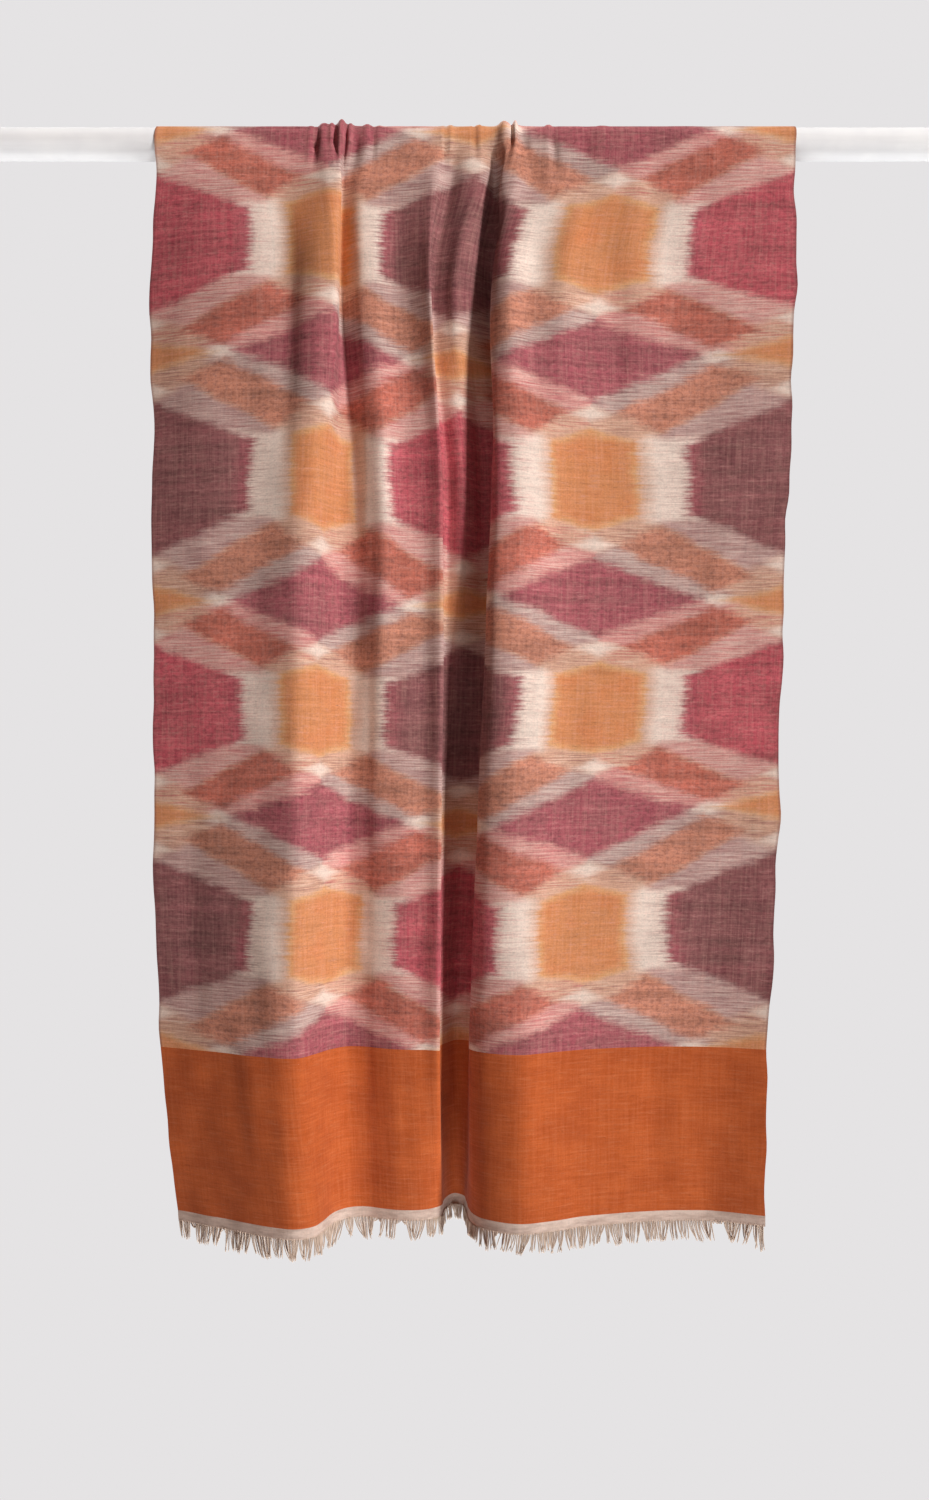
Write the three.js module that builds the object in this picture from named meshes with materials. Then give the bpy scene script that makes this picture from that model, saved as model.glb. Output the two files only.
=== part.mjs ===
// An ikat-woven stole draped over a round hanging rod.
// Millimetres, +Z up, +X along the rod to the viewer's right, the front half of the stole on the -Y side.
// The origin is the middle of the rod's axis.
//
// The stole is one flat woven length, 700 mm wide, laid over the rod across its middle. Its two halves hang
// straight down in vertical folds that start as small gathers on the rod and open towards the hems, so every
// level of a half is one line in plan, and the line's length is the width of the cloth.
// Each half's folds are a table: a row for each fold line that runs down the cloth, with the place of that line
// (x along the rod, and how far it stands off the rod's axis) at a few named levels.
// The fields, the end bands, the ecru woven edges and the fringes are stretches of the same cloth.

import * as THREE from "three";

// ---- Driving sizes, in millimetres ----
const CUT_WIDTH = 700; // the flat width of the cloth, selvedge to selvedge
const WALL = 1.2; // the cloth's wall
const FRINGE_WALL = 2; // the fringe's plain reach
const SEAM = 0.3; // the gap between neighbouring stretches

const ROD_RADIUS = 15;
const ROD_LENGTH = 1000;
const ROD_CHAMFER = 1;
const ROD_FACETS = 48;

const ON_ROD = 16; // the wall's middle, from the rod's axis, where the cloth lies flat on it
const GATHER_ON_ROD = 0.6; // a gather stands this share as high on top of the rod as just below it

const FRONT_BAND_TOP = -863; // levels of the front half's edges, down from the rod's axis
const FRONT_BAND_END = -1017;
const FRONT_EDGE_END = -1027;
const FRONT_FRINGE_END = -1045;

const BACK_BAND_TOP = -843; // and of the back half's, a little shorter
const BACK_BAND_END = -997;
const BACK_EDGE_END = -1007;
const BACK_FRINGE_END = -1025;

// ---- The folds ----
// "cut" is the fold line's place on the flat cloth, from the left selvedge. At each level "x" is its place along
// the rod and "off" is how far it stands off the rod's axis, away from the other half.
const FRONT_LEVELS = [-6, -40, -102, -326, -640, -863, -1017];
const FRONT_COLUMNS = ["fold", "cut", ...FRONT_LEVELS.flatMap((_, k) => ["x" + (k + 1), "off" + (k + 1)])];
const FRONT_FOLDS = [
  ["selvedge_left", 0, -293.5, 16, -295.5, 11, -299, 3.5, -296.5, 11, -294, 14, -287.5, 14, -269.5, 17.5],
  ["panel_a", 47, -249.5, 16, -250.5, 17.5, -251.5, 18, -250, 25, -248, 27.5, -243.5, 32, -227.5, 39],
  ["panel_b", 101, -197.5, 16, -198, 21, -195, 27.5, -195, 34, -195.5, 44.5, -193.5, 54.5, -178.5, 63],
  ["panel_c", 129, -170.5, 16, -170.5, 19, -165.5, 28, -167.5, 42.5, -169, 54, -166.5, 65, -152, 70.5],
  ["rise", 142, -158, 16, -158, 20, -153, 34.5, -154.5, 46.5, -156, 57, -154, 64.5, -140, 65],
  ["crest_a", 163, -139, 16, -138.5, 26, -132, 43, -136, 42, -139.5, 44.5, -140.5, 48, -131, 46.5],
  ["crest_b", 175, -129, 18, -127.5, 30.5, -120, 43.5, -129, 32, -133, 34.5, -134, 37.5, -127.5, 35],
  ["lip", 186, -122.5, 19.5, -117, 31, -116.5, 32.5, -124, 21.5, -127, 25, -128.5, 28, -123.5, 24.5],
  ["under", 198, -116, 20.5, -116.5, 21, -120, 19, -115.5, 12.5, -119.5, 15, -120.5, 19, -116.5, 14.5],
  ["valley_a", 207, -111, 18.5, -116.5, 12.5, -118.5, 8, -106.5, 11.5, -112.5, 9, -113.5, 13, -109.5, 9],
  ["valley_b", 226, -97.5, 16.5, -100, 17.5, -99, 22, -90.5, 22, -94.5, 12.5, -95, 12.5, -91, 7.5],
  ["ridge_a", 240, -85, 16, -87, 17.5, -87, 22.5, -77.5, 28.5, -82.5, 19.5, -82.5, 18.5, -77.5, 12.5],
  ["ridge_b", 260, -65.5, 16, -67.5, 16, -66.5, 17.5, -61.5, 19.5, -62.5, 23.5, -63.5, 26, -58, 18],
  ["plateau_a", 288, -38.5, 16, -40.5, 19, -42, 25.5, -34.5, 18, -35, 22, -36.5, 28, -31.5, 13],
  ["plateau_b", 302, -26, 16, -27, 21.5, -31, 31.5, -21.5, 24, -22, 27, -23.5, 31.5, -22.5, 3],
  ["drop_a", 314, -18, 17, -19.5, 14.5, -32.5, 20, -22.5, 12.5, -22.5, 15, -24.5, 19.5, -21, -8.5],
  ["drop_b", 325, -9.5, 16, -12.5, 11.5, -27.5, 9.5, -17.5, 2.5, -21, 4, -23.5, 8.5, -18.5, -19],
  ["slot_a", 341, 3.5, 16, 1, 17.5, -15, 12, -2, 8, -12, -9.5, -16.5, -6, -10, -33],
  ["slot_b", 355, 14, 17, 14.5, 17, -3, 18, 8, -1, 1, -17, -8, -17.5, -0.5, -25.5],
  ["inner_a", 368, 21.5, 16, 23, 8, 9, 10, 18, -11.5, 13.5, -12, 4.5, -13, 1.5, -13.5],
  ["inner_b", 379, 27.5, 16, 28, -0.5, 16.5, -1, 28.5, -6.5, 17, 0, 7, -2, 3, -2.5],
  ["floor_a", 393, 35.5, 18.5, 36, 9, 28.5, -7.5, 32, 7, 14.5, 13.5, 5, 11.5, 4, 11.5],
  ["floor_b", 409, 44.5, 20, 35, 23.5, 36, 7, 26, 22.5, 13.5, 29.5, 6, 26.5, 7.5, 27],
  ["turn", 422, 52, 17.5, 47, 26.5, 31, 19.5, 30, 34, 22, 39.5, 14, 37, 14.5, 38],
  ["edge", 440, 65, 16, 63, 19.5, 46, 29, 47.5, 37.5, 39.5, 45, 30, 46, 29, 49],
  ["right_crest", 464, 87, 16, 85.5, 21, 69.5, 22, 70.5, 28, 63, 39.5, 53.5, 50, 52, 56.5],
  ["right_a", 492, 114, 16, 112, 15, 98, 22, 96, 14.5, 89, 27.5, 79.5, 39, 78.5, 49],
  ["right_b", 524, 145, 16, 143, 16.5, 129.5, 14, 128, 6.5, 120, 18, 109.5, 27, 108, 36],
  ["right_c", 562, 181.5, 16, 180, 14, 169.5, 11, 167, 1, 158.5, 11, 147.5, 18, 145, 26],
  ["right_d", 600, 218, 16, 217, 14.5, 209.5, 7, 206, -1, 197, 6.5, 185.5, 13.5, 182.5, 19.5],
  ["right_e", 645, 261.5, 16, 261, 16, 257, 10, 252.5, 2, 242.5, 7, 231, 14.5, 228, 18],
  ["selvedge_right", 700, 313.5, 16, 314.5, 16, 315, 13, 309, 6.5, 298.5, 11.5, 285.5, 27, 280.5, 34],
];

// The back half starts from the front half's places on the rod, so its table has only the lower levels.
const BACK_LEVELS = [-6, -430, -997];
const BACK_COLUMNS = ["fold", "cut", "x2", "off2", "x3", "off3"];
const BACK_FOLDS = [
  ["selvedge_left", 0, -295.5, 18, -271, 19],
  ["panel_a", 57, -247, 30.5, -226, 40.5],
  ["panel_b", 113, -197, 46, -178.5, 63.5],
  ["crest_left", 156, -157.5, 54, -137, 73],
  ["fall_left", 193, -120, 40.5, -103, 52],
  ["valley_a", 226, -90.5, 24, -77, 27],
  ["valley_b", 259, -58, 18, -46.5, 19],
  ["neck_a", 288, -34, 27, -25, 38.5],
  ["neck_b", 311, -24.5, 46, -18.5, 61.5],
  ["bulge_a", 330, -16.5, 63.5, -12.5, 80.5],
  ["bulge_b", 350, 0.5, 73, 1.5, 94],
  ["bulge_c", 370, 17.5, 65.5, 18, 86.5],
  ["neck_c", 392, 28.5, 48, 27.5, 67],
  ["neck_d", 415, 38.5, 28, 34, 42],
  ["valley_c", 439, 57, 18, 47.5, 23],
  ["valley_d", 472, 89, 17.5, 78.5, 20],
  ["rise_right", 519, 135, 30, 123, 38.5],
  ["crest_right", 566, 180, 44, 168, 59.5],
  ["fall_right", 613, 223.5, 38.5, 212.5, 54],
  ["panel_c", 660, 265, 26, 252, 35.5],
  ["selvedge_right", 700, 299.5, 18, 285.5, 21],
];

// ---- How finely each stretch is divided ----
const FRONT_ROWS = [0, -6, -12, -20, -40, -66, -102, -165, -240, -326, -430, -535, -640, -755, FRONT_BAND_TOP];
const BACK_ROWS = [0, -20, -60, -120, -210, -320, -430, -570, -710, BACK_BAND_TOP];
const FRONT_STEP = 16; // mm of cloth between columns at most
const BACK_STEP = 22;
const ROD_STEP = 26;
const ROD_STEPS = 9; // steps over the half turn on the rod

// ---- Curves through the tables ----
const named = (columns, rows) =>
  rows.map((row) => Object.fromEntries(columns.map((name, i) => [name, row[i]])));

// A smooth curve through (at[i], value[i]), with unequal spacing.
function smooth(at, value, t) {
  const last = at.length - 1;
  const slope = (i) => {
    if (i === 0) return (value[1] - value[0]) / (at[1] - at[0]);
    if (i === last) return (value[last] - value[last - 1]) / (at[last] - at[last - 1]);
    const before = at[i] - at[i - 1],
      after = at[i + 1] - at[i];
    return (
      (((value[i] - value[i - 1]) / before) * after + ((value[i + 1] - value[i]) / after) * before) /
      (before + after)
    );
  };
  if (t <= at[0]) return value[0];
  if (t >= at[last]) return value[last];
  let i = 0;
  while (t > at[i + 1]) i++;
  const h = at[i + 1] - at[i],
    s = (t - at[i]) / h;
  return (
    (2 * s ** 3 - 3 * s ** 2 + 1) * value[i] +
    (s ** 3 - 2 * s ** 2 + s) * h * slope(i) +
    (-2 * s ** 3 + 3 * s ** 2) * value[i + 1] +
    (s ** 3 - s ** 2) * h * slope(i + 1)
  );
}

const front = named(FRONT_COLUMNS, FRONT_FOLDS);
const back = named(BACK_COLUMNS, BACK_FOLDS);
const column = (rows, name) => rows.map((row) => row[name]);
const depthOf = (levels) => levels.map((z) => -z);

// Beside the rod no part of the cloth's middle comes nearer to the axis than where it lies flat on the rod.
const clearOfRod = (off, z) => (z > -ROD_RADIUS ? Math.max(off, Math.sqrt(ON_ROD ** 2 - Math.min(z, 0) ** 2)) : off);

// Where the cloth at "cut" mm from the left selvedge stands at level z: [x, distance off the rod's axis].
function frontAt(cut, z) {
  const at = column(front, "cut");
  const read = (name) =>
    smooth(
      depthOf(FRONT_LEVELS),
      FRONT_LEVELS.map((_, k) => smooth(at, column(front, name + (k + 1)), cut)),
      -z,
    );
  return [read("x"), clearOfRod(read("off"), z)];
}

function backAt(cut, z) {
  const at = column(back, "cut");
  const top = frontAt(cut, 0);
  const read = (name, first) =>
    smooth(
      depthOf(BACK_LEVELS),
      [first, smooth(at, column(back, name + 2), cut), smooth(at, column(back, name + 3), cut)],
      -z,
    );
  return [read("x", top[0]), clearOfRod(read("off", top[1]), z)];
}

// ---- Points of the wall's middle ----
const frontPoint = (cut, z) => {
  const [x, off] = frontAt(cut, z);
  return new THREE.Vector3(x, -off, z);
};
const backPoint = (cut, z) => {
  const [x, off] = backAt(cut, z);
  return new THREE.Vector3(x, off, z);
};
// turn is 0 at the front of the rod and 1 at the back, over its top.
const rodPoint = (cut, turn) => {
  const [x, off] = frontAt(cut, 0);
  const over = Math.sin(Math.PI * turn);
  const share = 1 - (1 - GATHER_ON_ROD) * over;
  const radius = ON_ROD + (off - ON_ROD) * share;
  return new THREE.Vector3(x, -radius * Math.cos(Math.PI * turn), radius * over);
};

// The columns: every fold line, and even steps between two of them.
function columnsOf(rows, step) {
  const cuts = column(rows, "cut");
  const out = [];
  for (let i = 0; i < cuts.length - 1; i++) {
    const n = Math.max(1, Math.ceil((cuts[i + 1] - cuts[i]) / step));
    for (let k = 0; k < n; k++) out.push(cuts[i] + ((cuts[i + 1] - cuts[i]) * k) / n);
  }
  out.push(CUT_WIDTH);
  return out;
}

// A closed wall of the given thickness round a grid of middle points: point(cut, row), with the rows running
// down the front, so that the grid's own normal points away from the rod.
function wall(cuts, rows, point, thickness) {
  const grid = rows.map((row) => cuts.map((cut) => point(cut, row)));
  const nr = rows.length,
    nc = cuts.length;
  const positions = [];
  for (const side of [1, -1])
    for (let j = 0; j < nr; j++)
      for (let i = 0; i < nc; i++) {
        const across = grid[j][Math.min(i + 1, nc - 1)].clone().sub(grid[j][Math.max(i - 1, 0)]);
        const down = grid[Math.min(j + 1, nr - 1)][i].clone().sub(grid[Math.max(j - 1, 0)][i]);
        const normal = down.cross(across).normalize();
        const p = grid[j][i].clone().addScaledVector(normal, (side * thickness) / 2);
        positions.push(p.x, p.y, p.z);
      }
  const at = (side, j, i) => side * nr * nc + j * nc + i;
  const index = [];
  const quad = (a, b, c, d) => index.push(a, b, c, a, c, d);
  for (let j = 0; j < nr - 1; j++)
    for (let i = 0; i < nc - 1; i++) {
      quad(at(0, j, i), at(0, j + 1, i), at(0, j + 1, i + 1), at(0, j, i + 1));
      quad(at(1, j, i), at(1, j, i + 1), at(1, j + 1, i + 1), at(1, j + 1, i));
    }
  for (let j = 0; j < nr - 1; j++) {
    quad(at(0, j, 0), at(1, j, 0), at(1, j + 1, 0), at(0, j + 1, 0));
    quad(at(0, j, nc - 1), at(0, j + 1, nc - 1), at(1, j + 1, nc - 1), at(1, j, nc - 1));
  }
  for (let i = 0; i < nc - 1; i++) {
    quad(at(0, 0, i), at(0, 0, i + 1), at(1, 0, i + 1), at(1, 0, i));
    quad(at(0, nr - 1, i), at(1, nr - 1, i), at(1, nr - 1, i + 1), at(0, nr - 1, i + 1));
  }
  const geometry = new THREE.BufferGeometry();
  geometry.setAttribute("position", new THREE.Float32BufferAttribute(positions, 3));
  geometry.setIndex(index);
  geometry.computeVertexNormals();
  return geometry;
}

// ---- Materials ----
const fabric = (color) => new THREE.MeshStandardMaterial({ color, roughness: 0.85, metalness: 0 });
const IKAT = fabric(0x9c4a55);
const TERRACOTTA = fabric(0xb85a2c);
const ECRU = fabric(0xc9bcb0);
const PAINTED = new THREE.MeshStandardMaterial({ color: 0xf0f1f1, roughness: 0.5, metalness: 0 });

// ---- The object ----
const object = new THREE.Group();
const cloth = new THREE.Group();
object.add(cloth);

function add(group, name, geometry, material) {
  const mesh = new THREE.Mesh(geometry, material);
  mesh.name = name;
  group.add(mesh);
  return mesh;
}

const half = SEAM / 2;
const frontCuts = columnsOf(front, FRONT_STEP);
const backCuts = columnsOf(back, BACK_STEP);
const rodCuts = columnsOf(front, ROD_STEP);
const edges = (top, end, ...between) => [top - half, ...between, end + half];

// The front half: the patterned field, the end band, the ecru woven edge and the fringe's reach.
add(
  cloth,
  "field_front",
  wall(frontCuts, edges(FRONT_ROWS[0], FRONT_ROWS.at(-1), ...FRONT_ROWS.slice(1, -1)), frontPoint, WALL),
  IKAT,
);
add(
  cloth,
  "end_band_front",
  wall(frontCuts, edges(FRONT_BAND_TOP, FRONT_BAND_END, -940), frontPoint, WALL),
  TERRACOTTA,
);
add(cloth, "woven_edge_front", wall(frontCuts, edges(FRONT_BAND_END, FRONT_EDGE_END), frontPoint, WALL), ECRU);
add(
  cloth,
  "fringe_front",
  wall(frontCuts, edges(FRONT_EDGE_END, FRONT_FRINGE_END), frontPoint, FRINGE_WALL),
  ECRU,
);

// The stretch over the rod, from front to back.
const turns = Array.from({ length: ROD_STEPS + 1 }, (_, i) => {
  const gap = half / (Math.PI * ON_ROD);
  return gap + ((1 - 2 * gap) * i) / ROD_STEPS;
});
add(cloth, "field_over_rod", wall(rodCuts, turns.toReversed(), rodPoint, WALL), IKAT);

// The back half. Seen from the front its normal faces the rod, so its rows run upwards.
const backWall = (top, end, between, thickness) =>
  wall(backCuts, edges(top, end, ...between).toReversed(), backPoint, thickness);
add(cloth, "field_back", backWall(BACK_ROWS[0], BACK_ROWS.at(-1), BACK_ROWS.slice(1, -1), WALL), IKAT);
add(cloth, "end_band_back", backWall(BACK_BAND_TOP, BACK_BAND_END, [-920], WALL), TERRACOTTA);
add(cloth, "woven_edge_back", backWall(BACK_BAND_END, BACK_EDGE_END, [], WALL), ECRU);
add(cloth, "fringe_back", backWall(BACK_EDGE_END, BACK_FRINGE_END, [], FRINGE_WALL), ECRU);

// The rod, turned about its axis, with a small chamfer at each end.
const rodProfile = [
  [0, -ROD_LENGTH / 2],
  [ROD_RADIUS - ROD_CHAMFER, -ROD_LENGTH / 2],
  [ROD_RADIUS, -ROD_LENGTH / 2 + ROD_CHAMFER],
  [ROD_RADIUS, ROD_LENGTH / 2 - ROD_CHAMFER],
  [ROD_RADIUS - ROD_CHAMFER, ROD_LENGTH / 2],
  [0, ROD_LENGTH / 2],
].map(([r, y]) => new THREE.Vector2(r, y));
const rod = add(object, "rod", new THREE.LatheGeometry(rodProfile, ROD_FACETS), PAINTED);
rod.rotation.z = -Math.PI / 2;

export default object;
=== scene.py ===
import math
import random

import bpy
import numpy as np
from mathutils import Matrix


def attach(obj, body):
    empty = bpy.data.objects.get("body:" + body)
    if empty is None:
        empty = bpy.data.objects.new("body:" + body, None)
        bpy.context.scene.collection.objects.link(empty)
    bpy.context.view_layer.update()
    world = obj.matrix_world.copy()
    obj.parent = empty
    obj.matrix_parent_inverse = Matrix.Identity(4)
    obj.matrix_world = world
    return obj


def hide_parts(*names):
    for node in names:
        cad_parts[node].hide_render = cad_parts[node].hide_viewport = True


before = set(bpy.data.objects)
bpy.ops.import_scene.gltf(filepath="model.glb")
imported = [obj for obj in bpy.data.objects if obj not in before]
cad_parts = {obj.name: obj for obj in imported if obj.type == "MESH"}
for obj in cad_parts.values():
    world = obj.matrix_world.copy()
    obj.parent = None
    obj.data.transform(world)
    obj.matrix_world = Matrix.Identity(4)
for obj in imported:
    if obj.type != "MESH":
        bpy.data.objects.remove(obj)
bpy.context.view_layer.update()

MM = 0.001

# ---------------------------------------------------------------- the stole's sizes, in millimetres
CUT_WIDTH = 700.0
THICK = 0.55
ON_ROD = 15.4
ROD_RADIUS = 15.0
GATHER_ON_ROD = 0.6
QUARTER = math.pi / 2 * ON_ROD  # cloth from the top of the rod to the level of its axis

FRONT_BAND_TOP, FRONT_BAND_END, FRONT_EDGE_END = 863.0, 1017.0, 1027.0
BACK_BAND_TOP, BACK_BAND_END, BACK_EDGE_END = 843.0, 997.0, 1007.0
FRINGE = 18.0

# ---------------------------------------------------------------- the folds, as in the CAD model
# A row for each fold line: its place on the flat cloth, then x and the distance off the rod's axis at each level.
FRONT_LEVELS = [6, 40, 102, 326, 640, 863, 1017]
FRONT_FOLDS = [
    ("selvedge_left", 0, -293.5, 16, -295.5, 11, -299, 3.5, -296.5, 11, -294, 14, -287.5, 14, -269.5, 17.5),
    ("panel_a", 47, -249.5, 16, -250.5, 17.5, -251.5, 18, -250, 25, -248, 27.5, -243.5, 32, -227.5, 39),
    ("panel_b", 101, -197.5, 16, -198, 21, -195, 27.5, -195, 34, -195.5, 44.5, -193.5, 54.5, -178.5, 63),
    ("panel_c", 129, -170.5, 16, -170.5, 19, -165.5, 28, -167.5, 42.5, -169, 54, -166.5, 65, -152, 70.5),
    ("rise", 142, -158, 16, -158, 20, -153, 34.5, -154.5, 46.5, -156, 57, -154, 64.5, -140, 65),
    ("crest_a", 163, -139, 16, -138.5, 26, -132, 43, -136, 42, -139.5, 44.5, -140.5, 48, -131, 46.5),
    ("crest_b", 175, -129, 18, -127.5, 30.5, -120, 43.5, -129, 32, -133, 34.5, -134, 37.5, -127.5, 35),
    ("lip", 186, -122.5, 19.5, -117, 31, -116.5, 32.5, -124, 21.5, -127, 25, -128.5, 28, -123.5, 24.5),
    ("under", 198, -116, 20.5, -116.5, 21, -120, 19, -115.5, 12.5, -119.5, 15, -120.5, 19, -116.5, 14.5),
    ("valley_a", 207, -111, 18.5, -116.5, 12.5, -118.5, 8, -106.5, 11.5, -112.5, 9, -113.5, 13, -109.5, 9),
    ("valley_b", 226, -97.5, 16.5, -100, 17.5, -99, 22, -90.5, 22, -94.5, 12.5, -95, 12.5, -91, 7.5),
    ("ridge_a", 240, -85, 16, -87, 17.5, -87, 22.5, -77.5, 28.5, -82.5, 19.5, -82.5, 18.5, -77.5, 12.5),
    ("ridge_b", 260, -65.5, 16, -67.5, 16, -66.5, 17.5, -61.5, 19.5, -62.5, 23.5, -63.5, 26, -58, 18),
    ("plateau_a", 288, -38.5, 16, -40.5, 19, -42, 25.5, -34.5, 18, -35, 22, -36.5, 28, -31.5, 13),
    ("plateau_b", 302, -26, 16, -27, 21.5, -31, 31.5, -21.5, 24, -22, 27, -23.5, 31.5, -22.5, 3),
    ("drop_a", 314, -18, 17, -19.5, 14.5, -32.5, 20, -22.5, 12.5, -22.5, 15, -24.5, 19.5, -21, -8.5),
    ("drop_b", 325, -9.5, 16, -12.5, 11.5, -27.5, 9.5, -17.5, 2.5, -21, 4, -23.5, 8.5, -18.5, -19),
    ("slot_a", 341, 3.5, 16, 1, 17.5, -15, 12, -2, 8, -12, -9.5, -16.5, -6, -10, -33),
    ("slot_b", 355, 14, 17, 14.5, 17, -3, 18, 8, -1, 1, -17, -8, -17.5, -0.5, -25.5),
    ("inner_a", 368, 21.5, 16, 23, 8, 9, 10, 18, -11.5, 13.5, -12, 4.5, -13, 1.5, -13.5),
    ("inner_b", 379, 27.5, 16, 28, -0.5, 16.5, -1, 28.5, -6.5, 17, 0, 7, -2, 3, -2.5),
    ("floor_a", 393, 35.5, 18.5, 36, 9, 28.5, -7.5, 32, 7, 14.5, 13.5, 5, 11.5, 4, 11.5),
    ("floor_b", 409, 44.5, 20, 35, 23.5, 36, 7, 26, 22.5, 13.5, 29.5, 6, 26.5, 7.5, 27),
    ("turn", 422, 52, 17.5, 47, 26.5, 31, 19.5, 30, 34, 22, 39.5, 14, 37, 14.5, 38),
    ("edge", 440, 65, 16, 63, 19.5, 46, 29, 47.5, 37.5, 39.5, 45, 30, 46, 29, 49),
    ("right_crest", 464, 87, 16, 85.5, 21, 69.5, 22, 70.5, 28, 63, 39.5, 53.5, 50, 52, 56.5),
    ("right_a", 492, 114, 16, 112, 15, 98, 22, 96, 14.5, 89, 27.5, 79.5, 39, 78.5, 49),
    ("right_b", 524, 145, 16, 143, 16.5, 129.5, 14, 128, 6.5, 120, 18, 109.5, 27, 108, 36),
    ("right_c", 562, 181.5, 16, 180, 14, 169.5, 11, 167, 1, 158.5, 11, 147.5, 18, 145, 26),
    ("right_d", 600, 218, 16, 217, 14.5, 209.5, 7, 206, -1, 197, 6.5, 185.5, 13.5, 182.5, 19.5),
    ("right_e", 645, 261.5, 16, 261, 16, 257, 10, 252.5, 2, 242.5, 7, 231, 14.5, 228, 18),
    ("selvedge_right", 700, 313.5, 16, 314.5, 16, 315, 13, 309, 6.5, 298.5, 11.5, 285.5, 27, 280.5, 34),
]
BACK_LEVELS = [6, 430, 997]
BACK_FOLDS = [
    ("selvedge_left", 0, -295.5, 18, -271, 19),
    ("panel_a", 57, -247, 30.5, -226, 40.5),
    ("panel_b", 113, -197, 46, -178.5, 63.5),
    ("crest_left", 156, -157.5, 54, -137, 73),
    ("fall_left", 193, -120, 40.5, -103, 52),
    ("valley_a", 226, -90.5, 24, -77, 27),
    ("valley_b", 259, -58, 18, -46.5, 19),
    ("neck_a", 288, -34, 27, -25, 38.5),
    ("neck_b", 311, -24.5, 46, -18.5, 61.5),
    ("bulge_a", 330, -16.5, 63.5, -12.5, 80.5),
    ("bulge_b", 350, 0.5, 73, 1.5, 94),
    ("bulge_c", 370, 17.5, 65.5, 18, 86.5),
    ("neck_c", 392, 28.5, 48, 27.5, 67),
    ("neck_d", 415, 38.5, 28, 34, 42),
    ("valley_c", 439, 57, 18, 47.5, 23),
    ("valley_d", 472, 89, 17.5, 78.5, 20),
    ("rise_right", 519, 135, 30, 123, 38.5),
    ("crest_right", 566, 180, 44, 168, 59.5),
    ("fall_right", 613, 223.5, 38.5, 212.5, 54),
    ("panel_c", 660, 265, 26, 252, 35.5),
    ("selvedge_right", 700, 299.5, 18, 285.5, 21),
]


def smooth(at, value, t):
    """The smooth curve through (at[i], value[i]) at t. value may carry further axes after the first."""
    at = np.asarray(at, float)
    value = np.asarray(value, float)
    t = np.clip(np.asarray(t, float), at[0], at[-1])
    h = np.diff(at)
    tail = (slice(None),) + (None,) * (value.ndim - 1)
    rise = np.diff(value, axis=0) / h[tail]
    slope = np.empty_like(value)
    slope[0], slope[-1] = rise[0], rise[-1]
    before, after = h[:-1][tail], h[1:][tail]
    slope[1:-1] = (rise[:-1] * after + rise[1:] * before) / (before + after)
    i = np.clip(np.searchsorted(at, t, side="right") - 1, 0, len(at) - 2)
    s = (t - at[i]) / h[i]
    hh = h[i]
    if value.ndim > 1:
        s, hh = s[..., None], hh[..., None]
    return (
        (2 * s**3 - 3 * s**2 + 1) * value[i]
        + (s**3 - 2 * s**2 + s) * hh * slope[i]
        + (-2 * s**3 + 3 * s**2) * value[i + 1]
        + (s**3 - s**2) * hh * slope[i + 1]
    )


def clear_of_rod(off, z):
    """z is the depth below the rod's axis. Beside the rod the cloth's middle stays outside its radius on it."""
    z = z[:, None]
    near = np.sqrt(np.maximum(ON_ROD**2 - np.maximum(z, 0) ** 2, 0))
    return np.where(z < ROD_RADIUS, np.maximum(off, near), off)


front_cut = [r[1] for r in FRONT_FOLDS]
front_table = np.array([r[2:] for r in FRONT_FOLDS], float)
back_cut = [r[1] for r in BACK_FOLDS]
back_table = np.array([r[2:] for r in BACK_FOLDS], float)


def front_at(u, z):
    """x and the distance off the axis, each [row, column], for cuts u and depths z."""
    t = smooth(front_cut, front_table, u)  # column, level pairs
    x = smooth(FRONT_LEVELS, t[:, 0::2].T, z)
    off = smooth(FRONT_LEVELS, t[:, 1::2].T, z)
    return x, clear_of_rod(off, z)


def back_at(u, z):
    x0, off0 = front_at(u, np.zeros(1))
    t = smooth(back_cut, back_table, u)
    x = smooth(BACK_LEVELS, np.vstack([x0, t[:, 0::2].T]), z)
    off = smooth(BACK_LEVELS, np.vstack([off0, t[:, 1::2].T]), z)
    return x, clear_of_rod(off, z)


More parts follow.
